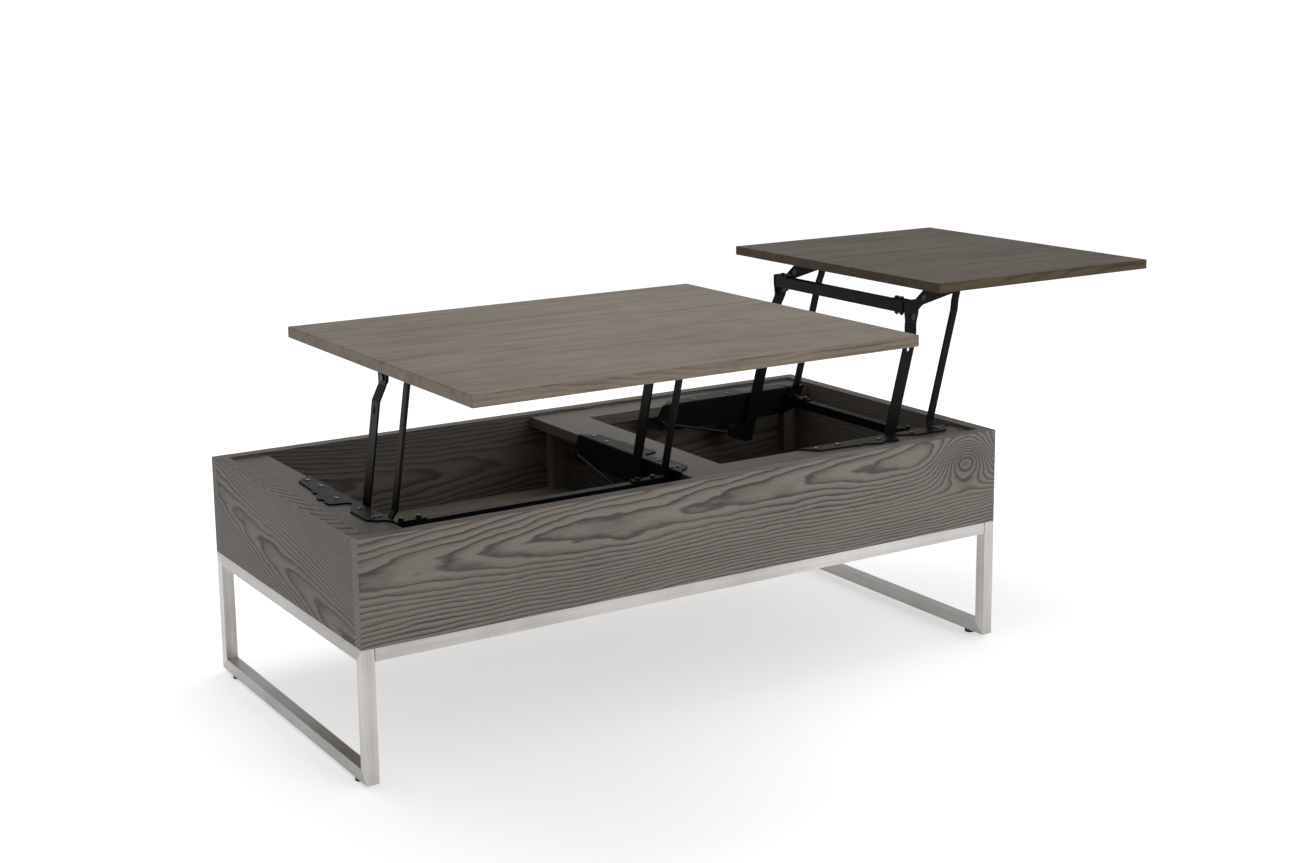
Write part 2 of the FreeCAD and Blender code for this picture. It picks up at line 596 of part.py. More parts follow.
def base_bracket(mech, label, sign):
    """The angle plate on the ledge: a scalloped flange and a hanging web."""
    body = doc.addObject("PartDesign::Body", label + "_body")
    wide = named("flange_width")
    neck = named("flange_neck")
    teeth = [(-97, wide), (-78, wide + " + 5"), (-71, wide), (-50, wide + " + 11"), (-38, wide + " + 13"),
             (-30, wide + " + 7"), (-14, wide + " + 12"), (0, wide + " + 10")]
    edge = [(-184, "0"), (-160, wide + " - 4")] + teeth
    edge += [(4, wide + " - 6"), (5, neck + " + 7"), (13, neck), (54, wide), (112, wide),
             (124, "0.66*" + wide), (127, neck), (143, "0")]
    flange = sketch_on(body, label + "_flange", "XY_Plane", "%s + Sizes.plate/2" % mech.flange)
    outline(flange, [(str(x), mech.lane(sign, "%s - (%s)" % (WEB[1], out))) for x, out in edge])
    blank = pad(body, label + "_flange_pad", flange, PLATE)
    tips = [(str(x), mech.lane(sign, "%s - (%s)" % (WEB[1], out))) for x, out in edge[1:-1]]
    soften(body, label + "_tips", blank, 2, tips, named("tooth_radius"))
    drill = sketch_on(body, label + "_holes", "XY_Plane")
    for x, out in BRACKET_SCREWS:
        circle(drill, (str(x), mech.lane(sign, "%s - %d" % (WEB[1], out))), PILOT)
    cut_through(body, label + "_drilled", drill)
    top = "(%s + Sizes.plate)" % mech.flange
    run = named("link_run")
    rise = named("link_rise")
    lobe_left = ("-14", "-14")
    lobe_right = ("14", "-14")
    rear_low = ("-199", "31")
    points = [("-184", top), ("-199", "52"), rear_low, ("-170", "28"), ("-32", "27"), ("-14", "10"),
              lobe_left, lobe_right, ("14", "10"), ("30", "27"), ("(%s - 12)" % run, "(%s - 17)" % rise),
              ("(%s + 16)" % run, "(%s - 10)" % rise), ("(%s + 30)" % run, "(%s + 16)" % rise), ("143", top)]
    sketch, thickness = side_plate(mech, body, label + "_web", sign, WEB, points)
    for pin in (("0", "0"), (run, rise), ANCHOR):
        circle(sketch, pin, HOLE)
    web = pad(body, label + "_web_pad", sketch, thickness)
    web = soften(body, label + "_round", web, 1, [lobe_left, lobe_right, rear_low], "10")
    soften(body, label + "_bend", web, 0, [(mech.lane(sign, WEB[1]), top)], named("bend_radius"))
    return mech.finish(body, label)


def spring(mech, label, sign):
    """A close-wound tension spring from the rear anchor to the stud on the lever, with an open hook."""
    middle = "(%s + %s)/2" % SPRING_LANE
    start = FreeCAD.Vector(value(ANCHOR[0]), value(mech.lane(sign, middle)), value(ANCHOR[1]))
    end = FreeCAD.Vector(value(HOOK[0]), start.y, value(HOOK[1]))
    run = end - start
    turn = FreeCAD.Rotation(FreeCAD.Vector(0, 0, 1), run)
    unit = FreeCAD.Vector(run).normalize()
    loop = value("Sizes.pin_radius + Sizes.spring_wire + 0.4")
    eye = value("2.7*Sizes.spring_wire")
    coil_start = start + unit * (loop - 0.2)
    coil_end = end - unit * (eye - 0.3)
    place = mech.place.multiply(FreeCAD.Placement(coil_start, turn))
    coil = peg(label + "_coil", named("spring_radius"), str((coil_end - coil_start).Length), place)
    upright = FreeCAD.Rotation(FreeCAD.Vector(1, 0, 0), 90)
    rings = []
    for name, centre, radius, sweep in (("ring", start, loop, 360), ("hook", end, eye, 170)):
        ring = doc.addObject("Part::Torus", "%s_%s" % (label, name))
        ring.Radius1 = radius
        ring.setExpression("Radius2", "Sizes.spring_wire/2")
        ring.Angle3 = sweep
        ring.Placement = mech.place.multiply(FreeCAD.Placement(centre, upright))
        rings.append(ring)
    whole = doc.addObject("Part::MultiFuse", label + "_whole")
    whole.Shapes = [coil] + rings
    return keep(whole, label)


def pin_places(mech, spots, depth):
    """Pins that point inward, with their own origin at one depth."""
    places = []
    for sign in (-1, 1):
        turn = FreeCAD.Rotation(FreeCAD.Vector(1, 0, 0), 90 * sign)
        for x, z in spots:
            places.append(mech.world(x, mech.lane(sign, depth), z, turn))
    return places


def screw_places(mech, spots, lane_start, height, outward, turn):
    places = []
    for sign in (-1, 1):
        for x, out in spots:
            depth = "%s %s %d" % (lane_start, "-" if outward else "+", out)
            places.append(mech.world(x, mech.lane(sign, depth), height, turn))
    return places


HEAD = named("pin_head_thick")
lift_pin = turned("lift_pin", [
    (named("pin_head"), "-" + HEAD, "0"), (named("pin_radius"), "0", PLATE),
    ("Sizes.pin_radius + 2", PLATE, "(%s - %s)" % (LIFT_LOW[0], WEB[0]) + " - 0.1"),
    (named("pin_radius"), "(%s - %s)" % (LIFT_LOW[0], WEB[0]) + " - 0.1",
     "(%s - %s)" % (LIFT_LOW[1], WEB[0]) + " + 0.1"),
    (named("pin_head"), "(%s - %s)" % (LIFT_LOW[1], WEB[0]) + " + 0.1",
     "(%s - %s)" % (LIFT_LOW[1], WEB[0]) + " + 0.1 + " + HEAD)])
guide_pin = turned("guide_pin", [
    (named("pin_head"), "-" + HEAD, "0"),
    (named("pin_radius"), "0", "(%s - %s)" % (GUIDE_LOW[1], WEB[0]) + " + 0.1"),
    (named("pin_head"), "(%s - %s)" % (GUIDE_LOW[1], WEB[0]) + " + 0.1",
     "(%s - %s)" % (GUIDE_LOW[1], WEB[0]) + " + 0.1 + " + HEAD)])
ANCHOR_HEAD = "(%s - %s - 1.4)" % (SPRING_LANE[1], WEB[0])
anchor_pin = turned("anchor_pin", [
    (named("pin_head"), "-" + HEAD, "0"), (named("pin_radius"), "0", ANCHOR_HEAD),
    (named("pin_head"), ANCHOR_HEAD, ANCHOR_HEAD + " + 1.2")])
top_pin = turned("top_pin", [
    (named("pin_head"), "-(Sizes.pin_head_thick + 0.1)", "-0.1"),
    (named("pin_radius"), "-0.1", "(%s - %s)" % (TOP_PLATE[1], LIFT_HIGH[0])),
    (named("pin_head"), "(%s - %s)" % (TOP_PLATE[1], LIFT_HIGH[0]),
     "(%s - %s)" % (TOP_PLATE[1], LIFT_HIGH[0]) + " + " + HEAD)])
link_pin = turned("link_pin", [
    (named("pin_head"), "-(Sizes.pin_head_thick + 0.1)", "-0.1"),
    (named("pin_radius"), "-0.1", "(%s - %s)" % (TOP_PLATE[1], GUIDE_HIGH[0])),
    (named("pin_head"), "(%s - %s)" % (TOP_PLATE[1], GUIDE_HIGH[0]),
     "(%s - %s)" % (TOP_PLATE[1], GUIDE_HIGH[0]) + " + " + HEAD)])
rivet = turned("rivet", [
    (named("pin_head"), "-1.4", "0"), (named("pin_radius"), "0", PLATE),
    (named("pin_head"), PLATE, PLATE + " + 1.4")])
upper_bolt = hex_bolt("upper_bolt", "(Sizes.upper_bar_height + Sizes.plate)")
lower_bolt = hex_bolt("lower_bolt", "(Sizes.lower_bar_height + Sizes.plate)")

main = Mechanism(
    "main", named("main_arm"), named("main_lean"), "((%s + %s)/2)" % (MIDDLE_LEFT, LEDGE_EDGE_X),
    FreeCAD.Placement(
        FreeCAD.Vector(value("(%s - %s)/2" % (MIDDLE_LEFT, LEDGE_EDGE_X)), -value("Sizes.main_pivot_y"),
                       value(PIVOT_Z)),
        FreeCAD.Rotation(UP, -90)))
side = Mechanism(
    "side", named("side_arm"), named("side_lean"), LEDGE_EDGE_Y,
    FreeCAD.Placement(FreeCAD.Vector(value("Sizes.side_pivot_x"), 0, value(PIVOT_Z)), FreeCAD.Rotation()))
# main: local -Y looks to the left end of the table, side: local -Y looks to the front
ENDS = {"main": (("left", -1), ("right", 1)), "side": (("front", -1), ("rear", 1))}

base_pin_links = []
bracket_screw_places = {}
for mech in (main, side):
    name = mech.name
    for end, sign in ENDS[name]:
        base_bracket(mech, "%s_bracket_%s" % (name, end), sign)
        spring(mech, "%s_spring_%s" % (name, end), sign)
        lift_arm(mech, "%s_lift_arm_%s" % (name, end), sign)
        guide_arm(mech, "%s_guide_arm_%s" % (name, end), sign)
        top_bracket(mech, "%s_top_bracket_%s" % (name, end), sign)
    cross_bar(mech, name + "_upper_bar", mech.from_top(*BAR_CENTRE),
              named("upper_bar_height"), "%s + %s" % (TOP_PLATE[1], GAP), UPPER_BOLTS)
    low = ("(Sizes.link_run + %d)" % LOW_BAR_CENTRE[0], "(Sizes.link_rise + %d)" % LOW_BAR_CENTRE[1])
    cross_bar(mech, name + "_lower_bar", low, named("lower_bar_height"),
              "%s + Sizes.pin_head_thick + 2*%s" % (GUIDE_LOW[1], GAP), LOWER_BOLTS)
    bolt_sets = (("_upper_bolts", upper_bolt, mech.from_top(BAR_CENTRE[0], EAR_TOP), UPPER_BOLTS),
                 ("_lower_bolts", lower_bolt,
                  (low[0], "%s + Sizes.lower_bar_height/2 + Sizes.plate" % low[1]), LOWER_BOLTS))
    for ending, bolt, (x, z), depths in bolt_sets:
        places = [mech.world(x, mech.lane(sign, depth), z) for sign in (-1, 1) for depth in depths]
        group(name + ending, copies(name + ending, bolt, places))
    run, rise = named("link_run"), named("link_rise")
    base_pin_links += copies(name + "_lift_pin", lift_pin, pin_places(mech, [("0", "0")], WEB[0]))
    base_pin_links += copies(name + "_guide_pin", guide_pin, pin_places(mech, [(run, rise)], WEB[0]))
    base_pin_links += copies(name + "_anchor", anchor_pin, pin_places(mech, [ANCHOR], WEB[0]))
    group(name + "_top_pins",
          copies(name + "_top_pin", top_pin, pin_places(mech, [mech.top_pin], LIFT_HIGH[0]))
          + copies(name + "_link_pin", link_pin, pin_places(mech, [mech.from_top(run, rise)], GUIDE_HIGH[0]))
          + copies(name + "_rivet", rivet, pin_places(mech, [mech.from_top(*RIVET)], TOP_PLATE[0])))
    heights = "%s + Sizes.plate" % mech.flange
    bracket_screw_places[name] = screw_places(mech, BRACKET_SCREWS, WEB[1], heights, True, FreeCAD.Rotation())
    lid_low = mech.from_top("0", named("lid_over_pin"))[1]
    spots = [(mech.from_top(str(x), "0")[0], out) for x, out in LID_SCREWS]
    mech.lid_holes = screw_places(mech, spots, TOP_PLATE[0], lid_low, False, FreeCAD.Rotation())
    group(name + "_lid_screws", copies(name + "_lid_screw", wood_screw, screw_places(
        mech, spots, TOP_PLATE[0], lid_low + " - Sizes.plate", False, DOWN)))
group("base_pins", base_pin_links)
group("bracket_screws", copies("bracket_screw", wood_screw,
                               bracket_screw_places["main"] + bracket_screw_places["side"]))

# ---------------------------------------------------------------- ledges with their pilot holes
ledge_z = (LEDGE_BOTTOM, LEDGE_TOP)


def sunk(places):
    """Drills that start on the ledge and point down."""
    top = value(LEDGE_TOP)
    return [FreeCAD.Placement(FreeCAD.Vector(p.Base.x, p.Base.y, top), DOWN) for p in places]


count = len(BRACKET_SCREWS)
drilled("left_ledge", board("left_ledge_board", ("-" + INSIDE_X, "-" + LEDGE_EDGE_X), inside_y, ledge_z),
        sunk(bracket_screw_places["main"][:count]), PILOT, BITE)
drilled("middle_board", board("middle_board_blank", (MIDDLE_LEFT, MIDDLE_RIGHT), inside_y, ledge_z),
        sunk(bracket_screw_places["main"][count:]), PILOT, BITE)
short_x = (MIDDLE_RIGHT, INSIDE_X)
drilled("front_ledge", board("front_ledge_board", short_x, ("-" + INSIDE_Y, "-" + LEDGE_EDGE_Y), ledge_z),
        sunk(bracket_screw_places["side"][:count]), PILOT, BITE)
drilled("rear_ledge", board("rear_ledge_board", short_x, (LEDGE_EDGE_Y, INSIDE_Y), ledge_z),
        sunk(bracket_screw_places["side"][count:]), PILOT, BITE)


# ---------------------------------------------------------------- lids
def lid(mech, label, x, y):
    """A bevelled board over the rim, moved to where the raised arms carry it."""
    body = doc.addObject("PartDesign::Body", label + "_body")
    low = "(%s + %s)" % (PIVOT_Z, mech.from_top("0", named("lid_over_pin"))[1])
    face = sketch_on(body, label + "_face", "XY_Plane", "%s + Sizes.lid_thickness/2" % low)
    outline(face, rectangle(x, y))
    slab = pad(body, label + "_slab", face, named("lid_thickness"))
    bevel = body.newObject("PartDesign::Chamfer", label + "_bevel")
    bevel.Base = (slab, ["Edge%d" % (i + 1) for i in range(len(slab.Shape.Edges))])
    bevel.setExpression("Size", named("lid_bevel"))
    doc.recompute()
    drill = sketch_on(body, label + "_pilots", "XY_Plane", low)
    for place in mech.lid_holes:
        circle(drill, (str(place.Base.x), str(place.Base.y)), PILOT)
    pocket = body.newObject("PartDesign::Pocket", label + "_pilot_cut")
    pocket.Profile = drill
    pocket.Reversed = True
    pocket.setExpression("Length", BITE)
    before = bevel.Shape.Volume
    doc.recompute()
    assert body.Shape.Volume < before, label
    return keep(body, label)


def forward(mech):
    """How far the lid comes forward from its closed place."""
    drop = "(%s + Sizes.lid_gap - Sizes.lid_over_pin - %s)" % (RIM, PIVOT_Z)
    return "(%s*sin(%s) + sqrt(%s^2 - %s^2))" % (mech.arm, mech.lean, mech.arm, drop)


main_forward = forward(main)
side_forward = forward(side)
SPLIT_HALF = "Sizes.lid_split_gap/2"
lid(main, "main_lid", ("-" + HALF_X, "Sizes.lid_split - " + SPLIT_HALF),
    ("-%s - %s" % (HALF_Y, main_forward), "%s - %s" % (HALF_Y, main_forward)))
lid(side, "side_lid", ("Sizes.lid_split + %s + %s" % (SPLIT_HALF, side_forward),
                       "%s + %s" % (HALF_X, side_forward)), ("-" + HALF_Y, HALF_Y))

# ---------------------------------------------------------------- check and write
doc.recompute()
for obj in doc.Objects:
    assert not {"Invalid", "Error"} & set(obj.State), (obj.Label, obj.State)
for node in nodes:
    shape = node.Shape
    assert not shape.isNull() and shape.isValid(), node.Label
    shape.exportStep("parts/%s.step" % node.Label)
    box = shape.BoundBox
    print("%-24s %2d solids  %8.1f %8.1f %8.1f  %8.1f %8.1f %8.1f" % (
        node.Label, len(shape.Solids), box.XMin, box.YMin, box.ZMin, box.XMax, box.YMax, box.ZMax))
print(len(nodes), "sub-parts")
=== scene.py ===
# %% [markdown]
# Lift top coffee table.  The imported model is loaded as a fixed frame.  Every board, tube and arm
# stays where it is; this script gives them their finish and adds the pieces that need finer
# shapes than the frame has: coiled springs, cross-head screws and threaded bolts.

# %% The frame
import bpy
import json
import math
from mathutils import Euler, Matrix, Vector


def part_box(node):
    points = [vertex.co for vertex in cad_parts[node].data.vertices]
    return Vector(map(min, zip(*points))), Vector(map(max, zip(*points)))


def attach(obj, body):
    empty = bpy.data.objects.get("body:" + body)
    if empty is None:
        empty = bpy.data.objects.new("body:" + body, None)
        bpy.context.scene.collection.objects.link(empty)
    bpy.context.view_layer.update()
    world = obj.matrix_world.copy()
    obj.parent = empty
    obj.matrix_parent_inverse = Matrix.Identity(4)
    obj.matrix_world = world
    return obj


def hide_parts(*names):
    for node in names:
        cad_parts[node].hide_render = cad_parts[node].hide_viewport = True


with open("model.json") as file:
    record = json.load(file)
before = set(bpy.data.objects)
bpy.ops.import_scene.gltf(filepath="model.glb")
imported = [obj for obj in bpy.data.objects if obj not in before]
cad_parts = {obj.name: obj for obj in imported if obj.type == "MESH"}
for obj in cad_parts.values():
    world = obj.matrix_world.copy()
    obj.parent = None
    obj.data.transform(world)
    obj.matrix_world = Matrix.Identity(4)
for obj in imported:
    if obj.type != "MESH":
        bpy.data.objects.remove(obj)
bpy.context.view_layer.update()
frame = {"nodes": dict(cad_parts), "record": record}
record = frame["record"]

# %% [markdown]
# The camera stands to the front left and a little above the raised lids.  Its turn is built from
# three angles: how far it looks to the right, how far it looks down, and a small lean.

# %% Camera
CAMERA_PLACE = Vector((-1.6258, -2.7189, 1.1356))
CAMERA_RIGHT_DEG = 32.02
CAMERA_DOWN_DEG = 10.69
CAMERA_LEAN_DEG = -0.69
CAMERA_LENS_MM = 53.02
CAMERA_SHIFT_Y = -0.063

right_turn = math.radians(CAMERA_RIGHT_DEG)
down_turn = math.radians(-CAMERA_DOWN_DEG)
lean = math.radians(CAMERA_LEAN_DEG)
ahead = Vector((math.sin(right_turn) * math.cos(down_turn), math.cos(right_turn) * math.cos(down_turn),
                math.sin(down_turn)))
level = Vector((math.cos(right_turn), -math.sin(right_turn), 0.0))
upward = level.cross(ahead)
side_on = level * math.cos(lean) + upward * math.sin(lean)
top_on = upward * math.cos(lean) - level * math.sin(lean)
camera_data = bpy.data.cameras.new("camera")
camera_data.lens = CAMERA_LENS_MM
camera_data.sensor_width = 36.0
camera_data.sensor_fit = "HORIZONTAL"
camera_data.shift_y = CAMERA_SHIFT_Y
camera_data.clip_end = 200.0
camera = bpy.data.objects.new("camera", camera_data)
bpy.context.collection.objects.link(camera)
turn = Matrix((side_on, top_on, -ahead)).transposed().to_4x4()
camera.matrix_world = Matrix.Translation(CAMERA_PLACE) @ turn
bpy.context.scene.camera = camera
print("camera at", [round(v, 2) for v in CAMERA_PLACE])

# %% [markdown]
# Shader sums are easier to read as Python.  A Wire is one socket of a material; the signs + - * /
# and a few named sums add Math nodes, and `node` adds any other node.

# %% Shader sums
class Wire:
    """One output socket in a material."""

    def __init__(self, material, socket=None):
        self.material = material
        self.tree = material.node_tree
        self.socket = socket

    def node(self, kind, settings=None, inputs=None, output=0):
        """Adds a node: its settings first, then the values or links of its sockets."""
        made = self.tree.nodes.new(kind)
        for name, setting in (settings or {}).items():
            if name == "stops":
                ramp = made.color_ramp
                for place, _ in setting[2:]:
                    ramp.elements.new(place)
                for element, (place, grey) in zip(ramp.elements, setting):
                    element.position = place
                    element.color = (grey, grey, grey, 1.0)
            else:
                setattr(made, name, setting)
        for key, given in (inputs or {}).items():
            if isinstance(given, Wire):
                self.tree.links.new(given.socket, made.inputs[key])
            else:
                made.inputs[key].default_value = given
        return Wire(self.material, made.outputs[output])

    def sum_of(self, operation, *values):
        return self.node("ShaderNodeMath", {"operation": operation}, dict(enumerate(values)))

    def __add__(self, other):
        return self.sum_of("ADD", self, other)

    def __radd__(self, other):
        return self.sum_of("ADD", other, self)

    def __sub__(self, other):
        return self.sum_of("SUBTRACT", self, other)

    def __rsub__(self, other):
        return self.sum_of("SUBTRACT", other, self)

    def __mul__(self, other):
        return self.sum_of("MULTIPLY", self, other)

    def __rmul__(self, other):
        return self.sum_of("MULTIPLY", other, self)

    def root(self):
        return self.sum_of("SQRT", self)

    def fraction(self):
        return self.sum_of("FRACT", self)

    def power(self, exponent):
        return self.sum_of("POWER", self, exponent)

    def clamped(self, low, high):
        return self.sum_of("MINIMUM", self.sum_of("MAXIMUM", self, low), high)

    def ramp(self, *stops):
        """Reads this value off a curve of (place, grey) stops."""
        return self.node("ShaderNodeValToRGB", {"stops": stops}, {0: self})

    def between(self, low, high):
        """A colour between two, with this value as the share of the second."""
        inputs = {0: self}
        inputs[6] = low if isinstance(low, Wire) else (*low, 1.0)
        inputs[7] = high if isinstance(high, Wire) else (*high, 1.0)
        return self.node("ShaderNodeMix", {"data_type": "RGBA"}, inputs, 2)


def new_finish(name):
    """An empty material, its shader, and a Wire to start from."""
    material = bpy.data.materials.new(name)
    material.use_nodes = True
    shader = material.node_tree.nodes["Principled BSDF"]
    return material, shader, Wire(material)


def position(start):
    """The three object coordinates as Wires."""
    place = start.node("ShaderNodeTexCoord", output="Object")
    return [start.node("ShaderNodeSeparateXYZ", inputs={0: place}, output=i) for i in range(3)]


def stretched(start, axes, scales, shift=(0.0, 0.0, 0.0)):
    """Coordinates stretched by their own scale each, as a vector."""
    parts = {i: axes[i] * scales[i] + shift[i] for i in range(3)}
    return start.node("ShaderNodeCombineXYZ", inputs=parts)


def clouds(start, vector, detail=2.0, roughness=0.5):
    """Smooth noise from 0 to 1."""
    return start.node("ShaderNodeTexNoise", inputs={"Vector": vector, "Scale": 1.0, "Detail": detail,
                                                    "Roughness": roughness})


def relief(start, height, strength, distance):
    return start.node("ShaderNodeBump", inputs={"Height": height, "Strength": strength, "Distance": distance})


def plug(shader, **links):
    """Links Wires, or sets plain values, on the shader's own sockets."""
    for name, given in links.items():
        socket = shader.inputs[name.replace("_", " ")]
        if isinstance(given, Wire):
            given.tree.links.new(given.socket, socket)
        else:
            socket.default_value = given


print("shader sums ready")

# %% [markdown]
# Flat-sawn ash shows growth rings that the board cuts at a low angle.  Where the cut runs nearly
# along a ring the bands are wide and form long arches; further from the heart they close up into
# fine straight lines.  The finish is made the same way: distance from a wandering heart line gives
# the rings, and the ring's own profile gives a slow darkening with a sharp end.

# %% Ash veneer
RING_WIDTH = 0.0054


def ash(name, order, heart, tilt, tones, contrast=1.0, wander=0.024, seed=0.0, knot=None, gloss=0.46,
        slant=0.0, streak=0.0, shine=0.22):
    """order names the axes along the grain, across the face and into the board; heart is the place
    of the heart line across and into the board, and slant and tilt its slope in both; tones are the
    light and the dark colour; knot gives its place, its lift, and its half length and width; streak
    is the strength of broad streaks along the grain and shine the gloss seen at a low angle."""
    material, shader, start = new_finish(name)
    xyz = position(start)
    axes = [xyz["xyz".index(letter)] for letter in order]
    along, over, inward = axes
    shift = (seed, seed * 1.7, seed * 0.6)
    drift = clouds(start, stretched(start, axes, (1.7, 0.0, 0.0), shift), 1.0) - 0.5
    swell = clouds(start, stretched(start, axes, (2.6, 9.0, 4.0), shift), 2.0, 0.40) - 0.5
    ripple = clouds(start, stretched(start, axes, (14.0, 50.0, 20.0), shift), 2.0, 0.5) - 0.5
    off_over = over - along * slant - heart[0] + drift * 0.06
    off_in = inward - heart[1] + along * tilt
    radius = (off_over * off_over + off_in * off_in).root() + swell * wander + ripple * 0.0060
    shadow = 0.0
    if knot:
        near_a = (along - knot[0]) * (1.0 / knot[3])
        near_b = (over - knot[1]) * (1.0 / knot[4])
        swirl = (near_a * near_a + near_b * near_b) * -1.0
        rise = start.sum_of("EXPONENT", swirl)
        radius = radius + rise * knot[2]
        shadow = rise * 0.30
    ring = radius * (1.0 / RING_WIDTH)
    late = ring.fraction().ramp((0.0, 0.05), (0.28, 0.06), (0.60, 0.42), (0.82, 1.0), (0.93, 0.75),
                                (1.0, 0.05))
    patch = clouds(start, stretched(start, axes, (3.0, 14.0, 14.0), (seed + 3.0, 1.0, 2.0)), 2.0)
    pores = clouds(start, stretched(start, axes, (60.0, 1500.0, 1500.0), shift), 3.0, 0.6)
    pores = pores.ramp((0.0, 0.0), (0.50, 0.0), (0.66, 1.0))
    flecks = clouds(start, stretched(start, axes, (14.0, 420.0, 420.0), shift), 3.0, 0.6)
    share = late * (patch * 0.9 + 0.45) * contrast + (flecks - 0.5) * 0.55 + pores * 0.22 + shadow
    if streak:
        bands = clouds(start, stretched(start, axes, (2.2, 70.0, 70.0), shift), 4.0, 0.66)
        mottle = clouds(start, stretched(start, axes, (9.0, 26.0, 26.0), (seed + 5.0, 2.0, 1.0)), 4.0, 0.62)
        share = share + (bands - 0.5) * streak + (mottle - 0.5) * (streak * 0.8)
    share = share.clamped(0.0, 1.0)
    light, dark = tones
    colour = share.between(light, dark)
    shade = clouds(start, stretched(start, axes, (1.4, 5.0, 5.0), (seed + 9.0, 4.0, 0.0)), 1.0)
    deep = tuple(c * 0.80 for c in dark)
    colour = ((shade - 0.38) * 0.8).clamped(0.0, 0.35).between(colour, deep)
    height = 1.0 - pores * 0.7 - late * 0.3
    plug(shader, Base_Color=colour, Roughness=gloss + share * 0.14,
         Normal=relief(start, height, 0.22, 0.0004))
    plug(shader, Coat_Weight=0.04, Coat_Roughness=0.35, Specular_IOR_Level=shine)
    return material


print("ash finish ready")

# %% The boards' own finishes
FACE = ((0.192, 0.168, 0.148), (0.050, 0.041, 0.034))
LEFT = ((0.134, 0.112, 0.093), (0.032, 0.026, 0.021))
# The rear panel's tones are darker than the front's as painted shade, for the shade on its inner face inside the box.
REAR_PAINTED_SHADE = ((0.130, 0.112, 0.096), (0.040, 0.033, 0.027))
RIGHT = ((0.150, 0.130, 0.111), (0.060, 0.050, 0.041))
LONG_TOP = ((0.188, 0.150, 0.112), (0.056, 0.042, 0.029))
# The short lid's tones are set darker than the long lid's as painted shade, for the weaker light and sheen that fall
# on it.
SHORT_TOP_PAINTED_SHADE = ((0.076, 0.056, 0.034), (0.018, 0.013, 0.008))
# The divider's tones are darker than the outer boards' as painted shade, for the shade inside the box under the lids.
INNER_PAINTED_SHADE = ((0.085, 0.072, 0.060), (0.036, 0.029, 0.024))
LEDGE = ((0.104, 0.087, 0.070), (0.042, 0.034, 0.027))
PALE = ((0.170, 0.145, 0.120), (0.100, 0.083, 0.068))

finishes = {}
finishes["front_panel"] = ash("front_ash", "xzy", (0.340, -0.247), 0.034, FACE, seed=2.0,
                              knot=(0.534, 0.336, 0.056, 0.056, 0.038), slant=0.04)
finishes["rear_panel"] = ash("rear_ash_painted_shade", "xzy", (0.300, 0.345), -0.030, REAR_PAINTED_SHADE, seed=5.5)
finishes["left_panel"] = ash("left_ash", "yzx", (0.275, -0.550), -0.060, LEFT, seed=8.0, slant=0.20)
finishes["right_panel"] = ash("right_ash", "yzx", (0.320, 0.552), 0.040, RIGHT, 0.6, seed=11.0)
finishes["main_lid"] = ash("long_lid_ash", "xyz", (-1.050, 1.000), 0.030, LONG_TOP, 0.55, wander=0.014,
                           seed=14.0, gloss=0.42, streak=1.35, shine=0.18)
# The short lid takes the darker tones of painted shade.
finishes["side_lid"] = ash("short_lid_ash_painted_shade", "xyz", (0.900, 1.000), -0.030, SHORT_TOP_PAINTED_SHADE, 0.45, wander=0.014,
                           seed=17.0, gloss=0.46, streak=1.3, shine=0.09)
finishes["bottom_board"] = ash("floor_ash", "xyz", (0.0, 0.10), 0.010, PALE, 0.6, seed=20.0)
finishes["divider"] = ash("divider_ash", "yzx", (0.29, 0.11), 0.01, INNER_PAINTED_SHADE, seed=23.0)
finishes["middle_board"] = ash("middle_ash", "yxz", (0.30, 0.70), 0.01, LEDGE, 0.6, seed=26.0, streak=0.4)
finishes["left_ledge"] = ash("ledge_ash", "yxz", (-0.90, 0.70), 0.01, LEDGE, 0.5, seed=29.0, streak=0.4)
for label, seed in (("front_ledge", 32.0), ("rear_ledge", 35.0)):
    finishes[label] = ash(label + "_ash", "xyz", (-0.50, 0.70), 0.01, LEDGE, 0.5, seed=seed, streak=0.4)
finishes["corner_battens"] = ash("batten_ash", "zxy", (0.30, 0.20), 0.01, PALE, 0.6, seed=38.0)
print(len(finishes), "boards finished")

# %% [markdown]
# The leg frames are satin stainless tube.  The mill brushes it lengthwise, so the fine lines run
# along each tube: very long thin noise in the roughness and a shallow relief.

# %% Brushed tube
BRIGHT_STEEL = (0.68, 0.662, 0.645)
DULL_STEEL = (0.30, 0.288, 0.276)


def brushed(name, along, painted_reflection_dim=1.0):
    """A darkening below 1 dims the tube's colour as a painted dark reflection, for a tube that mostly mirrors the
    dark underside.
    """
    material, shader, start = new_finish(name)
    axes = position(start)
    scales = [900.0, 900.0, 900.0]
    scales["xyz".index(along)] = 7.0
    lines = clouds(start, stretched(start, axes, scales), 3.0, 0.65)
    broad = clouds(start, stretched(start, axes, [s * 0.12 for s in scales], (4.0, 4.0, 4.0)), 2.0)
    smears = clouds(start, stretched(start, axes, (6.0, 6.0, 6.0), (7.0, 1.0, 3.0)), 3.0)
    share = (lines * 0.7 + broad * 0.4 + (smears - 0.5) * 1.1 - 0.05).clamped(0.0, 1.0)
    rough = 0.20 + lines * 0.16 + smears * 0.08
    dull, bright = [tuple(c * painted_reflection_dim for c in tone) for tone in (DULL_STEEL, BRIGHT_STEEL)]
    plug(shader, Base_Color=share.between(dull, bright), Metallic=1.0, Roughness=rough,
         Normal=relief(start, lines, 0.10, 0.0002))
    return material


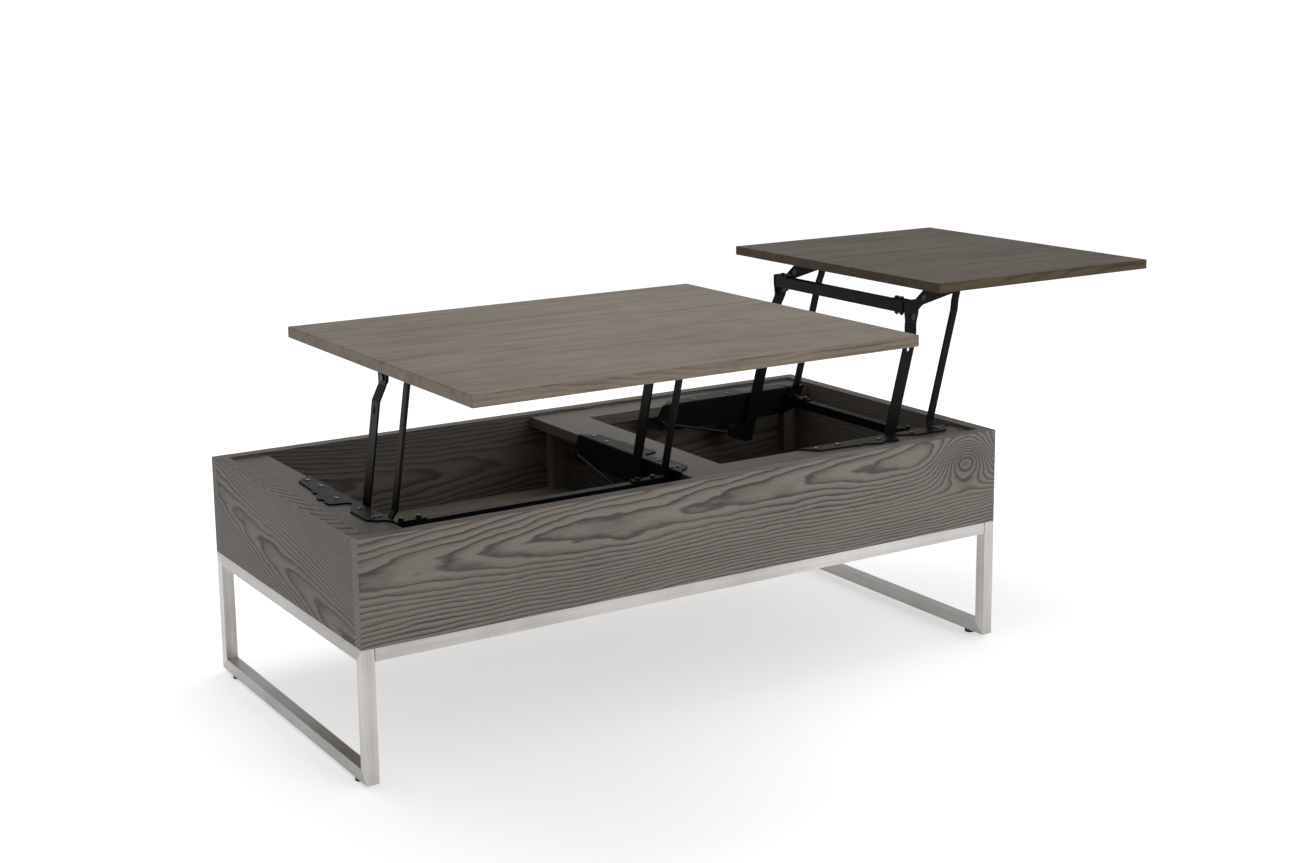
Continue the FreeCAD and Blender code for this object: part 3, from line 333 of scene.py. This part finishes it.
# Below 1 the tube's colour is darkened as a painted reflection of the dark underside: much for the y tubes, a little
# for the x tubes.
TUBE_PAINTED_REFLECTION_DIM = {"x": 0.94, "y": 0.72, "z": 1.0}
tube_finish = {axis: brushed("brushed_tube_" + axis, axis, painted_reflection_dim) for axis, painted_reflection_dim in TUBE_PAINTED_REFLECTION_DIM.items()}
for label in frame["nodes"]:
    if label.endswith("_rail"):
        finishes[label] = tube_finish["x"]
    elif label.endswith("_post"):
        finishes[label] = tube_finish["z"]
    elif label.startswith(("left_", "right_")) and label.endswith("_bar"):
        finishes[label] = tube_finish["y"]
print("tubes finished")

# %% [markdown]
# The lift arms and brackets are powder-coated black: a fine orange-peel relief, slightly uneven
# gloss, and small scuffs where parts are handled.  Springs, pins and screws are plated steel.

# %% Black coat, plated steel and rubber
def black_coat(name, base=(0.0032, 0.0032, 0.0035)):
    material, shader, start = new_finish(name)
    axes = position(start)
    peel = clouds(start, stretched(start, axes, (900.0, 900.0, 900.0)), 2.0)
    haze = clouds(start, stretched(start, axes, (30.0, 30.0, 30.0), (2.0, 5.0, 1.0)), 4.0, 0.6)
    scuffs = clouds(start, stretched(start, axes, (160.0, 160.0, 700.0), (3.0, 3.0, 3.0)), 4.0, 0.7)
    scuffs = scuffs.ramp((0.0, 0.0), (0.66, 0.0), (0.74, 1.0))
    worn = (scuffs * haze * 0.6).clamped(0.0, 0.5)
    plug(shader, Base_Color=worn.between(base, (0.035, 0.035, 0.035)), Roughness=0.34 + haze * 0.20,
         Normal=relief(start, peel, 0.12, 0.0003))
    plug(shader, Specular_IOR_Level=0.09)
    return material


def plated(name, light, dark, rough):
    material, shader, start = new_finish(name)
    axes = position(start)
    spots = clouds(start, stretched(start, axes, (220.0, 220.0, 220.0)), 4.0, 0.6)
    fine = clouds(start, stretched(start, axes, (1500.0, 1500.0, 1500.0)), 2.0)
    plug(shader, Base_Color=spots.between(dark, light), Metallic=1.0, Roughness=rough + spots * 0.18,
         Normal=relief(start, fine, 0.10, 0.0002))
    return material


def moulded_rubber(name):
    material, shader, start = new_finish(name)
    axes = position(start)
    grit = clouds(start, stretched(start, axes, (1200.0, 1200.0, 1200.0)), 3.0)
    dust = clouds(start, stretched(start, axes, (60.0, 60.0, 60.0)), 3.0)
    plug(shader, Base_Color=(dust * 0.4).between((0.012, 0.012, 0.012), (0.05, 0.048, 0.045)),
         Roughness=0.62 + dust * 0.2, Normal=relief(start, grit, 0.25, 0.0004))
    return material


black = black_coat("black_powder_coat")
zinc = plated("dark_zinc_screw", (0.20, 0.20, 0.20), (0.06, 0.06, 0.062), 0.22)
pin_steel = plated("pin_steel", (0.050, 0.050, 0.052), (0.016, 0.016, 0.017), 0.24)
spring_steel = plated("spring_steel", (0.085, 0.085, 0.088), (0.03, 0.03, 0.032), 0.25)
rubber = moulded_rubber("foot_rubber")
finishes["rubber_feet"] = rubber
for label in frame["nodes"]:
    if label not in finishes:
        if "screws" in label:
            finishes[label] = zinc
        elif "spring" in label:
            finishes[label] = spring_steel
        elif "pins" in label or "bolts" in label:
            finishes[label] = pin_steel
        else:
            finishes[label] = black
for label, finish in finishes.items():
    mesh = frame["nodes"][label].data
    mesh.materials.clear()
    mesh.materials.append(finish)
print(len(finishes), "nodes finished")

# %% [markdown]
# Geometry Nodes lay out what repeats.  One small class adds nodes to a tree and links them, so that
# each tree below reads from top to bottom.

# %% Tree building
class Tree:
    """A Geometry Nodes tree that is built step by step."""

    def __init__(self, name, inputs):
        self.group = bpy.data.node_groups.new(name, "GeometryNodeTree")
        face = self.group.interface
        face.new_socket("Geometry", in_out="INPUT", socket_type="NodeSocketGeometry")
        for label, kind, _ in inputs:
            face.new_socket(label, in_out="INPUT", socket_type=kind)
        face.new_socket("Geometry", in_out="OUTPUT", socket_type="NodeSocketGeometry")
        self.entry = self.group.nodes.new("NodeGroupInput")
        self.exit = self.group.nodes.new("NodeGroupOutput")
        self.values = {label: given for label, _, given in inputs}

    def given(self, label):
        return self.entry.outputs[label]

    def add(self, kind, settings=None, inputs=None, output=0):
        made = self.group.nodes.new(kind)
        for name, setting in (settings or {}).items():
            setattr(made, name, setting)
        for key, value in (inputs or {}).items():
            if isinstance(value, bpy.types.NodeSocket):
                self.group.links.new(value, made.inputs[key])
            else:
                made.inputs[key].default_value = value
        return made.outputs[output]

    def join(self, parts):
        made = self.group.nodes.new("GeometryNodeJoinGeometry")
        for part in parts:
            self.group.links.new(part, made.inputs[0])
        return made.outputs[0]

    def end(self, geometry):
        """Realize Instances and Set Material close the tree."""
        solid = self.add("GeometryNodeRealizeInstances", inputs={0: geometry})
        coated = self.add("GeometryNodeSetMaterial", inputs={"Geometry": solid, "Material": self.given("Finish")})
        self.group.links.new(coated, self.exit.inputs[0])


def points_mesh(name, places, turns):
    """Loose points, each with its own turn as an attribute."""
    mesh = bpy.data.meshes.new(name)
    mesh.from_pydata([tuple(p) for p in places], [], [])
    attribute = mesh.attributes.new("turn", "FLOAT_VECTOR", "POINT")
    for i, angles in enumerate(turns):
        attribute.data[i].vector = tuple(angles)
    return mesh


def grown(name, tree, places, turns):
    """Runs a tree on points and returns the result as one plain mesh object."""
    seedling = bpy.data.objects.new(name + "_points", points_mesh(name + "_points", places, turns))
    bpy.context.collection.objects.link(seedling)
    modifier = seedling.modifiers.new("grow", "NODES")
    modifier.node_group = tree.group
    for item in tree.group.interface.items_tree:
        if item.in_out == "INPUT" and item.name in tree.values:
            modifier[item.identifier] = tree.values[item.name]
    depsgraph = bpy.context.evaluated_depsgraph_get()
    mesh = bpy.data.meshes.new_from_object(seedling.evaluated_get(depsgraph))
    mesh.name = name
    bpy.data.objects.remove(seedling)
    piece = bpy.data.objects.new(name, mesh)
    bpy.context.collection.objects.link(piece)
    print(name, len(places), "places,", len(mesh.polygons), "faces")
    return piece


print("tree building ready")

# %% [markdown]
# A tension spring is close-wound wire with a turned-out eye at each end.  A Spiral curve gives the
# coil and circles give the eyes; both get a round wire section.  One tree makes all four.

# %% Springs
MM = 0.001
joint_place = {joint["name"]: Vector(joint["pos_m"]) for joint in record["behaviour"]["joints"]}
SPRING_RADIUS = 2.45 * MM
WIRE_RADIUS = 0.55 * MM
EYE_RADIUS = 2.97 * MM
RING_RADIUS = 5.5 * MM
ANCHOR_BACK, ANCHOR_UP = 187 * MM, 43 * MM
HOOK_BACK, HOOK_UP = 40 * MM, 8 * MM

spring_run = math.hypot(ANCHOR_BACK - HOOK_BACK, ANCHOR_UP - HOOK_UP)
coil_length = spring_run - RING_RADIUS - EYE_RADIUS
tree = Tree("tension_spring", [
    ("Coil length", "NodeSocketFloat", coil_length), ("Coil radius", "NodeSocketFloat", SPRING_RADIUS),
    ("Wire radius", "NodeSocketFloat", WIRE_RADIUS), ("Turns", "NodeSocketFloat", 104.0),
    ("Finish", "NodeSocketMaterial", spring_steel)])
coil = tree.add("GeometryNodeCurveSpiral", inputs={
    "Resolution": 14, "Rotations": tree.given("Turns"), "Start Radius": tree.given("Coil radius"),
    "End Radius": tree.given("Coil radius"), "Height": tree.given("Coil length")})
coil = tree.add("GeometryNodeTransform", inputs={"Geometry": coil, "Translation": (0, 0, RING_RADIUS)})
upright = (math.pi / 2, 0.0, 0.0)
HOOK_SWEEP = math.radians(184)
ring = tree.add("GeometryNodeCurvePrimitiveCircle", inputs={"Resolution": 32, "Radius": RING_RADIUS})
ring = tree.add("GeometryNodeTransform", inputs={"Geometry": ring, "Rotation": upright})
hook_arc = tree.add("GeometryNodeCurveArc", inputs={"Resolution": 20, "Radius": EYE_RADIUS,
                                                  "Start Angle": 0.0, "Sweep Angle": HOOK_SWEEP})
hook_arc = tree.add("GeometryNodeTransform", inputs={
    "Geometry": hook_arc, "Rotation": (math.pi / 2, -math.pi / 2, 0.0), "Translation": (0, 0, spring_run)})
wire = tree.add("GeometryNodeCurvePrimitiveCircle", inputs={"Resolution": 7, "Radius": tree.given("Wire radius")})
wound = tree.add("GeometryNodeCurveToMesh", inputs={"Curve": tree.join([coil, ring, hook_arc]), "Profile Curve": wire,
                                                   "Fill Caps": True})
turned = tree.add("GeometryNodeInputNamedAttribute", {"data_type": "FLOAT_VECTOR"}, {"Name": "turn"})
placed = tree.add("GeometryNodeInstanceOnPoints", inputs={"Points": tree.given("Geometry"), "Instance": wound,
                                                        "Rotation": turned})
tree.end(placed)

spring_places = []
spring_turns = []
spring_nodes = []
for mechanism, forward in (("main", Vector((0, -1, 0))), ("side", Vector((1, 0, 0)))):
    pivot = joint_place[mechanism + "_lift_hinge"]
    for label in sorted(frame["nodes"]):
        if label.startswith(mechanism + "_spring"):
            low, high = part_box(label)
            middle = (low + high) / 2
            anchor = pivot - forward * ANCHOR_BACK + Vector((0, 0, ANCHOR_UP))
            hook = pivot - forward * HOOK_BACK + Vector((0, 0, HOOK_UP))
            sideways = 0 if mechanism == "main" else 1
            anchor[sideways] = hook[sideways] = middle[sideways]
            axis = (hook - anchor).normalized()
            across = forward.cross(Vector((0, 0, 1)))
            basis = Matrix((axis.cross(across), across, axis)).transposed()
            spring_places.append(anchor)
            spring_turns.append(basis.to_euler())
            spring_nodes.append(label)
springs = grown("tension_springs", tree, spring_places, spring_turns)
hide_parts(*spring_nodes)
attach(springs, "base")

# %% [markdown]
# The screws are zinc plated with a low domed head and a cross recess.  A frame node holds plain
# round heads; each one's place is read back from it, and one tree sets a finished screw there.

# %% Cross-head screws
HEAD_RADIUS = 4.2 * MM
HEAD_HEIGHT = 2.0 * MM
SHANK_RADIUS = 2.0 * MM


def fastener_places(label, reach=0.007):
    """Groups a node's points into fasteners by their distance in plan."""
    groups = []
    for vertex in frame["nodes"][label].data.vertices:
        point = vertex.co
        for members in groups:
            if (members[0].xy - point.xy).length < 2 * reach and abs(members[0].z - point.z) < 0.06:
                members.append(point)
                break
        else:
            groups.append([point])
    found = []
    for members in groups:
        low = Vector([min(p[i] for p in members) for i in range(3)])
        high = Vector([max(p[i] for p in members) for i in range(3)])
        found.append((low, high))
    return found


def screw_tree(length):
    """A domed head with a cross recess on a plain shank."""
    tree = Tree("cross_head_screw", [
        ("Head radius", "NodeSocketFloat", HEAD_RADIUS), ("Shank radius", "NodeSocketFloat", SHANK_RADIUS),
        ("Shank length", "NodeSocketFloat", length), ("Finish", "NodeSocketMaterial", zinc)])
    rim = tree.add("GeometryNodeMeshCylinder", inputs={
        "Vertices": 20, "Radius": tree.given("Head radius"), "Depth": HEAD_HEIGHT * 0.45})
    rim = tree.add("GeometryNodeTransform", inputs={"Geometry": rim, "Translation": (0, 0, HEAD_HEIGHT * 0.225)})
    dome = tree.add("GeometryNodeMeshCone", inputs={
        "Vertices": 20, "Radius Top": HEAD_RADIUS * 0.62, "Radius Bottom": HEAD_RADIUS,
        "Depth": HEAD_HEIGHT * 0.55})
    dome = tree.add("GeometryNodeTransform", inputs={"Geometry": dome, "Translation": (0, 0, HEAD_HEIGHT * 0.45)})
    head = tree.add("GeometryNodeMeshBoolean", {"operation": "UNION"}, {"Mesh 2": rim})
    union = head.node
    tree.group.links.new(dome, union.inputs["Mesh 2"])
    slots = []
    for size in ((4.6 * MM, 0.9 * MM, 2.0 * MM), (0.9 * MM, 4.6 * MM, 2.0 * MM)):
        slot = tree.add("GeometryNodeMeshCube", inputs={"Size": size})
        slots.append(tree.add("GeometryNodeTransform", inputs={
            "Geometry": slot, "Translation": (0, 0, HEAD_HEIGHT)}))
    cut = tree.add("GeometryNodeMeshBoolean", {"operation": "DIFFERENCE"}, {"Mesh 1": head, "Mesh 2": slots[0]})
    cut2 = tree.add("GeometryNodeMeshBoolean", {"operation": "DIFFERENCE"}, {"Mesh 1": cut, "Mesh 2": slots[1]})
    shank = tree.add("GeometryNodeMeshCylinder", inputs={
        "Vertices": 12, "Radius": tree.given("Shank radius"), "Depth": tree.given("Shank length")})
    shank = tree.add("GeometryNodeTransform", inputs={"Geometry": shank, "Translation": (0, 0, -length / 2)})
    turned = tree.add("GeometryNodeInputNamedAttribute", {"data_type": "FLOAT_VECTOR"}, {"Name": "turn"})
    placed = tree.add("GeometryNodeInstanceOnPoints", inputs={
        "Points": tree.given("Geometry"), "Instance": tree.join([cut2, shank]), "Rotation": turned})
    tree.end(placed)
    return tree


for label, body, hanging in (("bracket_screws", "base", False), ("frame_screws", "base", True),
                             ("main_lid_screws", "main_top", True), ("side_lid_screws", "side_top", True)):
    spots = fastener_places(label)
    length = spots[0][1].z - spots[0][0].z - HEAD_HEIGHT
    places = []
    turns = []
    for i, (low, high) in enumerate(spots):
        middle = (low + high) / 2
        seat = low.z + HEAD_HEIGHT if hanging else high.z - HEAD_HEIGHT
        places.append(Vector((middle.x, middle.y, seat)))
        turns.append(Euler((math.pi if hanging else 0.0, 0.0, 0.7 * i)))
    screws = grown(label + "_fine", screw_tree(length), places, turns)
    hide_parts(label)
    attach(screws, body)

# %% [markdown]
# Each cross bar is held by bolts.  A bolt has a hexagon head on a washer, a shank with a real helical
# thread, and a hexagon nut under the bar; its length is read back from the frame like the screws'.

# %% Threaded bolts
BOLT_RADIUS = 2.5 * MM
BOLT_HEAD_RADIUS = 4.6 * MM
BOLT_HEAD_HEIGHT = 4.0 * MM
BOLT_END = 2.0 * MM
WASHER_HEIGHT = 0.7 * MM
THREAD_PITCH = 0.8 * MM
THREAD_WIRE = 0.3 * MM


def bolt_tree(length):
    """A bolt whose length counts from under its head to its end; the nut sits short of the end."""
    tree = Tree("threaded_bolt", [
        ("Length", "NodeSocketFloat", length), ("Core radius", "NodeSocketFloat", BOLT_RADIUS - THREAD_WIRE),
        ("Thread radius", "NodeSocketFloat", BOLT_RADIUS - THREAD_WIRE),
        ("Turns", "NodeSocketFloat", (length - BOLT_END) / THREAD_PITCH),
        ("Finish", "NodeSocketMaterial", pin_steel)])

    def stack(sides, low_radius, top_radius, low, high):
        """A round or hexagonal slice between two heights."""
        slice_ = tree.add("GeometryNodeMeshCone", inputs={
            "Vertices": sides, "Radius Top": top_radius, "Radius Bottom": low_radius, "Depth": high - low})
        return tree.add("GeometryNodeTransform", inputs={"Geometry": slice_, "Translation": (0, 0, low)})

    flat = BOLT_HEAD_RADIUS * 0.96
    crown = BOLT_HEAD_RADIUS * 0.80
    shoulder = BOLT_HEAD_HEIGHT * 0.80
    nut_top = -(length - BOLT_END - BOLT_HEAD_HEIGHT)
    core = tree.add("GeometryNodeMeshCylinder", inputs={
        "Vertices": 16, "Radius": tree.given("Core radius"), "Depth": tree.given("Length")})
    core = tree.add("GeometryNodeTransform", inputs={"Geometry": core, "Translation": (0, 0, -length / 2)})
    helix = tree.add("GeometryNodeCurveSpiral", inputs={
        "Resolution": 14, "Rotations": tree.given("Turns"), "Start Radius": tree.given("Thread radius"),
        "End Radius": tree.given("Thread radius"), "Height": length - BOLT_END})
    helix = tree.add("GeometryNodeTransform", inputs={"Geometry": helix, "Translation": (0, 0, -length + 1 * MM)})
    ridge = tree.add("GeometryNodeCurvePrimitiveCircle", inputs={"Resolution": 5, "Radius": THREAD_WIRE})
    thread = tree.add("GeometryNodeCurveToMesh", inputs={
        "Curve": helix, "Profile Curve": ridge, "Fill Caps": True})
    parts = [
        stack(24, BOLT_HEAD_RADIUS, BOLT_HEAD_RADIUS, 0.0, WASHER_HEIGHT),
        stack(6, flat, flat, WASHER_HEIGHT, shoulder), stack(6, flat, crown, shoulder, BOLT_HEAD_HEIGHT),
        stack(6, flat, flat, nut_top - shoulder, nut_top), stack(6, crown, flat, nut_top - BOLT_HEAD_HEIGHT,
                                                                 nut_top - shoulder),
        core, thread]
    turned = tree.add("GeometryNodeInputNamedAttribute", {"data_type": "FLOAT_VECTOR"}, {"Name": "turn"})
    placed = tree.add("GeometryNodeInstanceOnPoints", inputs={
        "Points": tree.given("Geometry"), "Instance": tree.join(parts), "Rotation": turned})
    tree.end(placed)
    return tree


for mechanism in ("main", "side"):
    for level, body in (("upper", "lift"), ("lower", "guide")):
        label = "%s_%s_bolts" % (mechanism, level)
        spots = fastener_places(label)
        places = [Vector(((low.x + high.x) / 2, (low.y + high.y) / 2, high.z - BOLT_HEAD_HEIGHT))
                  for low, high in spots]
        turns = [Euler((0.0, 0.0, 0.5 * i)) for i in range(len(spots))]
        length = spots[0][1].z - spots[0][0].z - BOLT_HEAD_HEIGHT
        bolts = grown(label + "_fine", bolt_tree(length), places, turns)
        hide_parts(label)
        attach(bolts, "%s_%s" % (mechanism, body))

# %% [markdown]
# A studio sweep: a wide pale floor that runs out of sight, an even white surround, one large soft
# light above and one at the left.  The floor glows so that it reads white; near the table its glow
# is dimmed as painted shade under the table.

# %% Floor and lights
floor_mesh = bpy.data.meshes.new("floor")
reach = 60.0
floor_mesh.from_pydata([(-reach, -reach, 0), (reach, -reach, 0), (reach, reach, 0), (-reach, reach, 0)], [],
                       [(0, 1, 2, 3)])
floor = bpy.data.objects.new("floor", floor_mesh)
bpy.context.collection.objects.link(floor)
paper, paper_shader, paper_start = new_finish("studio_paper_with_painted_shade")
paper_axes = position(paper_start)
# Painted shade: the floor's glow is dimmed within about 2.3 m of the table's centre, down to 0.84 of full, to deepen
# the shade under the table.
from_table = (paper_axes[0] * paper_axes[0] + paper_axes[1] * paper_axes[1]).root()
glow_with_painted_shade = (from_table * 0.07 + 0.84).clamped(0.84, 1.0).between((0.0, 0.0, 0.0), (1.0, 1.0, 1.0))
plug(paper_shader, Base_Color=(0.90, 0.90, 0.90, 1.0), Roughness=0.95, Specular_IOR_Level=0.0,
     Emission_Color=glow_with_painted_shade, Emission_Strength=0.53)
floor_mesh.materials.append(paper)

world = bpy.data.worlds.new("studio")
bpy.context.scene.world = world
world.use_nodes = True
backdrop = world.node_tree.nodes["Background"]
seen = world.node_tree.nodes.new("ShaderNodeLightPath").outputs["Is Camera Ray"]
level_seen = world.node_tree.nodes.new("ShaderNodeMapRange")
level_seen.inputs["To Max"].default_value = 1.05
world.node_tree.links.new(seen, level_seen.inputs["Value"])
facing = world.node_tree.nodes.new("ShaderNodeTexCoord").outputs["Generated"]
across_room = world.node_tree.nodes.new("ShaderNodeSeparateXYZ")
world.node_tree.links.new(facing, across_room.inputs[0])
dim_left = world.node_tree.nodes.new("ShaderNodeMapRange")
dim_left.inputs["From Min"].default_value = -1.0
dim_left.inputs["To Min"].default_value = 0.25
dim_left.inputs["To Max"].default_value = 0.85
world.node_tree.links.new(across_room.outputs["X"], dim_left.inputs["Value"])
world.node_tree.links.new(dim_left.outputs["Result"], level_seen.inputs["To Min"])
world.node_tree.links.new(level_seen.outputs["Result"], backdrop.inputs["Strength"])
backdrop.inputs["Color"].default_value = (1.0, 1.0, 1.0, 1.0)


def soft_light(name, place, aim, size, power):
    lamp = bpy.data.lights.new(name, "AREA")
    lamp.shape = "RECTANGLE"
    lamp.size, lamp.size_y = size
    lamp.energy = power
    holder = bpy.data.objects.new(name, lamp)
    bpy.context.collection.objects.link(holder)
    holder.location = place
    holder.rotation_euler = (Vector(aim) - Vector(place)).to_track_quat("-Z", "Y").to_euler()


soft_light("overhead", (0.2, 0.6, 3.2), (0.2, 0.0, 0.3), (3.2, 2.4), 34.0)
soft_light("front", (1.2, -4.2, 1.6), (0.1, 0.0, 0.3), (2.4, 1.6), 45.0)
scene = bpy.context.scene
scene.view_settings.view_transform = "Standard"
print("studio ready")
